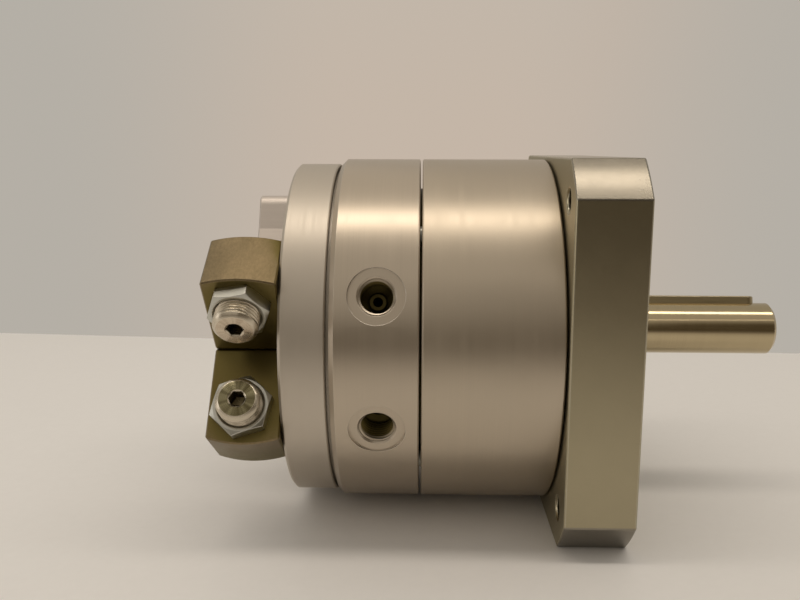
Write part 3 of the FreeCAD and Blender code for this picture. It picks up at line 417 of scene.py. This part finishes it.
def plain_metal(name, color, roughness, marks, scale, depth, contrast, edges=0.0, edge_color=EDGE_WEAR_AND_HIGHLIGHT):
    """Metal with tool marks of one scale and depth, and lighter edges, worn and with a painted highlight,
    where edges is above 0.
    """
    s = Metal(name, color, roughness, marks, scale, contrast)
    if edges:
        s.wear_and_highlight_edges(edges, edge_color)
    return s.done(depth)


def rubber(name, color, roughness):
    s = Shader(name)
    speck = s.noise(s.coordinates, 900.0, 4.0, 0.7)
    dust = s.noise(s.coordinates, 60.0, 4.0, 0.6)
    pale = tuple(min(1, c + 0.05) for c in color) + (1,)
    s.feed(s.inputs["Base Color"], s.mix(s.remap(dust, 0.4, 0.8), color + (1,), pale))
    s.feed(s.inputs["Roughness"], s.remap(speck, *NOISE_SPAN, roughness - 0.08, roughness + 0.08))
    s.feed(s.inputs["Normal"], s.bump(speck, 8e-6))
    return s.material


def painted_screw_face(s, side, along, radius, radial):
    """(mask of the turned end face, its tone: painted shade with painted reflection rays that spread from the
    middle).
    """
    unit = s.vector_math("NORMALIZE", radial)
    # painted sunburst reflection: rays of tone that spread from the middle
    rays = s.noise(unit, 2.4, 3.0, 0.7)
    on_face = s.math("LESS_THAN", radius, (SLEEVE_R - SLEEVE_CHAMFER) * MM)
    at_end = s.math("GREATER_THAN", along, (SLEEVE_OUTER_END - 0.1) * MM)
    return s.math("MULTIPLY", on_face, at_end), s.mix(s.remap(rays, 0.40, 0.62), *SCREW_FACE_SHADE[side])


def socket_shade_mask(s, along, radius):
    """1 inside the hexagon socket of a stop screw, where painted shade goes."""
    inside = s.math("LESS_THAN", radius, SOCKET_CORNER_R * MM)
    below_rim = s.math("LESS_THAN", along, (SLEEVE_OUTER_END - 0.4) * MM)
    return s.math("MULTIPLY", inside, below_rim)


def screw_steel(side, point, direction):
    """Bright turned steel for one stop screw, whose axis runs through point along direction."""
    s = Shader(f"{side}_screw_steel")
    along, radius, radial = s.about_line(point, direction)
    rings = s.noise(s.join(along, radius), 5200.0, 2.0, 0.7)
    tone = s.mix(s.remap(rings, *NOISE_SPAN), *SCREW_RINGS)
    mask, face = painted_screw_face(s, side, along, radius, radial)
    tone = s.mix(mask, tone, face)
    # painted shade inside the socket
    s.feed(s.inputs["Base Color"], s.mix(socket_shade_mask(s, along, radius), tone, SCREW_SOCKET_SHADE))
    s.feed(s.inputs["Roughness"], s.remap(rings, *NOISE_SPAN, 0.20, 0.30))
    s.inputs["Metallic"].default_value = 1.0
    s.inputs["Anisotropic"].default_value = 0.85
    s.inputs["Anisotropic Rotation"].default_value = QUARTER_TURN
    tangent = s.add("ShaderNodeVectorTransform", vector_type="VECTOR", convert_from="OBJECT",
                    convert_to="WORLD")
    s.feed(tangent.inputs[0], s.vector_math("CROSS_PRODUCT", direction, radial))
    s.feed(s.inputs["Tangent"], tangent.outputs[0])
    s.feed(s.inputs["Normal"], s.bump(rings, 1.0e-6))
    return s.material


materials = {
    "front_housing": front_housing_metal(),
    "rear_housing": rear_housing_metal(),
    "cover": cover_metal(),
    "flange": flange_metal(),
    "shaft": shaft_metal(),
    "block": stop_block_metal(),
    "inner": plain_metal("machined_aluminium", (0.55, 0.52, 0.46), 0.32, TURNED, 2400.0, 1.5e-6, 0.08),
    "key": plain_metal("drawn_steel", (0.46, 0.38, 0.23), 0.30, ALONG_X, 2400.0, 1.0e-6, 0.08, edges=0.6),
    "race": plain_metal("bearing_steel", (0.60, 0.59, 0.58), 0.12, TURNED, 3000.0, 5e-7, 0.04),
    "brass": plain_metal("cage_brass", (0.60, 0.42, 0.17), 0.30, TURNED, 2400.0, 1.2e-6, 0.08),
    "bronze": plain_metal("sintered_bronze", (0.45, 0.29, 0.14), 0.42, EVEN, 2200.0, 3e-6, 0.12),
    "spring": plain_metal("oiled_spring_steel", (0.10, 0.10, 0.11), 0.30, EVEN, 1200.0, 1e-6, 0.10,
                          edges=0.5),
    "lever": plain_metal("nickel_steel", (0.64, 0.58, 0.53), 0.48, ALONG_X, 2000.0, 8e-7, 0.05, edges=0.5),
    "zinc": plain_metal("zinc_plate", (0.56, 0.555, 0.50), 0.30, EVEN, 160.0, 3e-7, 0.05, edges=0.8),
    "black": plain_metal("black_oxide", (0.045, 0.043, 0.042), 0.38, EVEN, 900.0, 1.0e-6, 0.12, edges=0.5,
                         edge_color=(0.25, 0.24, 0.22, 1)),
    "seal": rubber("nitrile_rubber", (0.018, 0.018, 0.02), 0.55),
    "buffer": rubber("buffer_elastomer", (0.28, 0.05, 0.03), 0.48),
}

BEARING_STEEL = ("outer_ring", "inner_ring", "balls")
FINISH = {
    "front_housing": ["front_housing"],
    "rear_housing": ["rear_housing"],
    "cover": ["rear_cover"],
    "flange": ["front_flange"],
    "inner": ["front_vane", "rear_vane", "front_separator", "rear_separator"],
    "shaft": ["output_shaft"],
    "key": ["output_key", "vane_keys", "lever_key", "separator_dowel"],
    "race": [f"{end}_bearing_{piece}" for end in ("front", "rear") for piece in BEARING_STEEL],
    "brass": ["front_bearing_cage", "rear_bearing_cage"],
    "bronze": ["middle_bush"],
    "spring": ["bearing_retaining_ring", "shaft_retaining_rings"],
    "block": ["upper_stop_block", "lower_stop_block", "upper_t_nut", "lower_t_nut"],
    "lever": ["stop_lever", "lever_washer"],
    "zinc": ["upper_lock_nut", "lower_lock_nut", "tie_screws"],
    "black": ["upper_clamp_screw", "lower_clamp_screw", "lever_screw"],
    "buffer": ["upper_stop_buffer", "lower_stop_buffer"],
    "seal": ["front_rotor_seal", "front_partition_seal", "rear_partition_seal", "rear_rotor_seal",
             "shaft_wiper_seal", "front_o_ring", "middle_o_ring", "rear_o_ring", "front_separator_seal",
             "rear_separator_seal", "front_vane_seal", "rear_vane_seal"],
}


def dress(node, material):
    mesh = nodes[node].data
    mesh.materials.clear()
    mesh.materials.append(material)


def dress_all():
    for finish, names in FINISH.items():
        for name in names:
            dress(name, materials[finish])


# ---- turned and threaded pieces ------------------------------------------------------------
def ring_mesh(name, rings, place):
    """A closed skin over rings of points in mm, each with as many points, moved to its place."""
    count = len(rings[0])
    verts = [place @ (Vector(p) * MM) for ring in rings for p in ring]
    faces = []
    for k in range(len(rings) - 1):
        a, b = k * count, (k + 1) * count
        faces += [(a + i, a + (i + 1) % count, b + (i + 1) % count, b + i) for i in range(count)]
    last = (len(rings) - 1) * count
    faces += [tuple(reversed(range(count))), tuple(range(last, last + count))]
    mesh = bpy.data.meshes.new(name)
    mesh.from_pydata(verts, [], faces)
    mesh.update()
    mesh.shade_smooth()
    mesh.set_sharp_from_angle(angle=math.radians(32))
    obj = bpy.data.objects.new(name, mesh)
    bpy.context.scene.collection.objects.link(obj)
    return obj


def circle(radius, z, count=96):
    """Ring whose radius may be a function of the angle."""
    points = []
    for i in range(count):
        angle = 2 * math.pi * i / count
        r = radius(angle) if callable(radius) else radius
        points.append((r * math.cos(angle), r * math.sin(angle), z))
    return points


def hexagon(flats, at_least=0.0):
    """Radius of a hexagon as a function of the angle, widened to a circle of at least this radius."""
    def radius(angle):
        return max(flats / 2 / math.cos((angle % (math.pi / 3)) - math.pi / 6), at_least)
    return radius


def thread_radius(outer, pitch, depth, z, low, high):
    """Radius of a thread of about 60 degrees with flat crests, fading out at both ends of the run."""
    fade = min(1.0, max(0.0, (z - low) / pitch), max(0.0, (high - z) / pitch))

    def radius(angle):
        phase = (z / pitch - angle / (2 * math.pi)) % 1.0
        groove = max(0.0, 1.0 - abs(phase - 0.5) / 0.40)
        return outer - depth * fade * min(1.0, groove * 1.25)
    return radius


def sleeve_inner_end():
    return [circle(SLEEVE_POCKET_R, SLEEVE_POCKET_DEPTH), circle(SLEEVE_POCKET_R, 0),
            circle(SLEEVE_R - SLEEVE_LEAD, 0), circle(SLEEVE_R - 0.05, 0.6)]


def sleeve_thread(low, high, steps_per_turn=12):
    steps = int((high - low) / SLEEVE_PITCH * steps_per_turn)
    rings = []
    for k in range(steps + 1):
        z = low + (high - low) * k / steps
        rings.append(circle(thread_radius(SLEEVE_R, SLEEVE_PITCH, SLEEVE_THREAD_DEPTH, z, low, high), z))
    return rings


def sleeve_outer_end():
    """Chamfer with eased corners, then the end face."""
    face_r = SLEEVE_R - SLEEVE_CHAMFER
    start = SLEEVE_LENGTH - SLEEVE_CHAMFER
    outline = [(SLEEVE_R, start), (SLEEVE_R - 0.07, start + 0.17),
               (face_r + 0.17, SLEEVE_LENGTH - 0.07), (face_r, SLEEVE_LENGTH)]
    return [circle(r, z) for r, z in outline]


def sleeve_socket():
    wider, lead_depth = SOCKET_LEAD
    tip_r, tip_depth = SOCKET_TIP
    flats = hexagon(SLEEVE_SOCKET)
    return [circle(SOCKET_CORNER_R + wider, SLEEVE_LENGTH),
            circle(hexagon(SLEEVE_SOCKET, SOCKET_CORNER_R - 0.12), SLEEVE_LENGTH - 0.3),
            circle(flats, SLEEVE_LENGTH - lead_depth), circle(flats, SLEEVE_LENGTH - SOCKET_DEPTH),
            circle(tip_r, SLEEVE_LENGTH - tip_depth)]


def stop_sleeve():
    """Threaded stop screw along local Z, with its buffer pocket at z = 0 and its socket on top."""
    thread = sleeve_thread(SLEEVE_LEAD, SLEEVE_LENGTH - SLEEVE_CHAMFER)
    return sleeve_inner_end() + thread + sleeve_outer_end() + sleeve_socket()


def axis_frame(origin, direction):
    """Matrix that puts local Z along direction, with its zero at origin."""
    z = direction.normalized()
    x = Vector((1, 0, 0))
    y = z.cross(x).normalized()
    rotation = Matrix((x, y, z)).transposed().to_4x4()
    return Matrix.Translation(origin) @ rotation


def add_stop_sleeves():
    for side in ("upper", "lower"):
        turn = joints[f"{side}_stop_turn"]
        outward = Vector(turn["axis"]).normalized()
        on_axis = Vector(turn["pos_m"])
        foot = on_axis - outward * outward.dot(on_axis)
        place = axis_frame(foot + outward * (SLEEVE_OUTER_END - SLEEVE_LENGTH) * MM, outward)
        sleeve = ring_mesh(f"{side}_stop_sleeve_threaded", stop_sleeve(), place)
        steel = screw_steel(side, foot, outward)
        sleeve.data.materials.append(steel)
        dress(f"{side}_stop_sleeve", steel)
        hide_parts(f"{side}_stop_sleeve")
        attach(sleeve, f"{side}_sleeve")


def port_thread(per_turn=72, run_out=24):
    """A pipe thread's ridge: rows across a 55 degree crest, swept down the port."""
    low, high = PORT_THREAD_SPAN
    total = int(per_turn * (high - low) / PORT_PITCH)
    root_half, crest_half = PORT_RIDGE_HALF
    rings = []
    for k in range(total + 1):
        angle = 2 * math.pi * k / per_turn
        z = low + PORT_PITCH * k / per_turn
        fade = min(1.0, k / run_out, (total - k) / run_out) or 0.02
        crest_r = PORT_ROOT_R - PORT_RIDGE_HEIGHT * fade
        section = [(PORT_ROOT_R, -root_half), (crest_r, -crest_half), (crest_r, crest_half),
                   (PORT_ROOT_R, root_half)]
        c, s = math.cos(angle), math.sin(angle)
        rings.append([(r * c, r * s, z + dz * max(fade, 0.3)) for r, dz in section])
    return rings


def add_port_threads():
    angle = math.radians(PORT_DEG)
    for side, sign in (("upper", 1), ("lower", -1)):
        out = Vector((0, -math.cos(angle), sign * math.sin(angle)))
        place = axis_frame(Vector((PORT_X * MM, 0, 0)), out)
        thread = ring_mesh(f"{side}_port_thread", port_thread(), place)
        thread.data.materials.append(materials["rear_housing"])
        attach(thread, "housing")


# ---- floor, light and camera ------------------------------------------------------------
def board_material():
    """Pale fibre board with a painted shadow that darkens it far out on the viewer's side."""
    s = Shader("pale_board")
    fibre = s.noise(s.coordinates, 420.0, 4.0, 0.6)
    x, y, _ = s.split(s.coordinates)
    # painted shadow towards the viewer's side, starting sooner on the shaft's side, deeper further out
    sooner = s.math("MULTIPLY_ADD", s.math("MAXIMUM", x, 0.0), FADE_SOONER, 1.0)
    dim = s.remap(s.math("MULTIPLY", y, sooner), *SHADOW_FADE_SPAN)
    tone = s.mix(dim, s.mix(fibre, *BOARD), BOARD_SHADOW)
    s.feed(s.inputs["Base Color"], s.mix(s.remap(y, *FAR_SHADOW_SPAN), tone, BOARD_FAR_SHADOW))
    s.inputs["Roughness"].default_value = 0.5
    s.feed(s.inputs["Normal"], s.bump(fibre, 2e-5))
    return s.material


def pale_floor():
    z = cad_low[2]
    w = FLOOR_HALF_WIDTH
    corners = [(-w, FLOOR_NEAR, z), (w, FLOOR_NEAR, z), (w, FLOOR_FAR[1], z), (-w, FLOOR_FAR[0], z)]
    mesh = bpy.data.meshes.new("floor")
    mesh.from_pydata(corners, [], [(0, 1, 2, 3)])
    mesh.materials.append(board_material())
    floor = bpy.data.objects.new("floor", mesh)
    bpy.context.scene.collection.objects.link(floor)


def area_light(name, place, target, size, watts, color):
    light = bpy.data.lights.new(name, "AREA")
    light.shape = "RECTANGLE"
    light.size, light.size_y = size
    light.energy = watts
    light.color = color
    obj = bpy.data.objects.new(name, light)
    bpy.context.scene.collection.objects.link(obj)
    obj.location = place
    obj.rotation_euler = (Vector(target) - Vector(place)).to_track_quat("-Z", "Y").to_euler()


def soft_lights():
    area_light("ceiling_strip", (-0.05, -0.092, 0.75), (-0.05, -0.04, 0.03), (1.3, 0.13), 2.2, WARM)
    area_light("room_fill", (-0.5, 0.5, 0.9), (-0.05, 0, 0), (1.2, 1.2), 0.7, WARM)
    area_light("left_window", (-0.85, -0.18, 0.12), (-0.05, 0, 0.01), (0.30, 0.36), 0.36, DAYLIGHT)
    area_light("side_strip", (0.27, -0.60, 0.63), (0.03, 0, 0), (0.6, 0.03), 0.075, WARM)


def soft_room():
    """World light: bright above, paler behind the object, dim on the viewer's side."""
    world = bpy.data.worlds.new("soft_room")
    bpy.context.scene.world = world
    world.use_nodes = True
    n = Nodes(world.node_tree)
    x, y, z = n.split(n.add("ShaderNodeTexCoord").outputs["Generated"])
    back = n.smooth(y, BACK_SPAN)
    height = n.math("SUBTRACT", z, n.smooth(x, RIGHT_SPAN, RIGHT_RISE))
    wall = n.mix(n.smooth(height, HIGH_SPAN), n.mix(back, ROOM_FRONT, ROOM_BACK), ROOM_HIGH)
    ends = n.smooth(n.math("ABSOLUTE", x), ENDS_SPAN, ENDS_SHARE)
    background = world.node_tree.nodes["Background"]
    n.feed(background.inputs["Color"], n.mix(n.math("MULTIPLY", ends, back), wall, ROOM_ENDS))
    background.inputs["Strength"].default_value = 1.0


def add_camera():
    yaw, pitch, roll = (math.radians(a) for a in CAMERA_DEGREES)
    forward = Vector((math.sin(yaw) * math.cos(pitch), math.cos(yaw) * math.cos(pitch), -math.sin(pitch)))
    level = Vector((math.cos(yaw), -math.sin(yaw), 0))
    below = forward.cross(level)
    right = level * math.cos(roll) + below * math.sin(roll)
    down = below * math.cos(roll) - level * math.sin(roll)
    data = bpy.data.cameras.new("camera")
    data.sensor_width = 36.0
    data.lens = CAMERA_LENS
    data.clip_start = 0.01
    camera = bpy.data.objects.new("camera", data)
    bpy.context.scene.collection.objects.link(camera)
    rotation = Matrix((right, -down, -forward)).transposed().to_4x4()
    camera.matrix_world = Matrix.Translation(CAMERA_PLACE) @ rotation
    bpy.context.scene.camera = camera


dress_all()
add_stop_sleeves()
add_port_threads()
pale_floor()
soft_room()
soft_lights()
add_camera()
bpy.context.scene.view_settings.view_transform = "Standard"
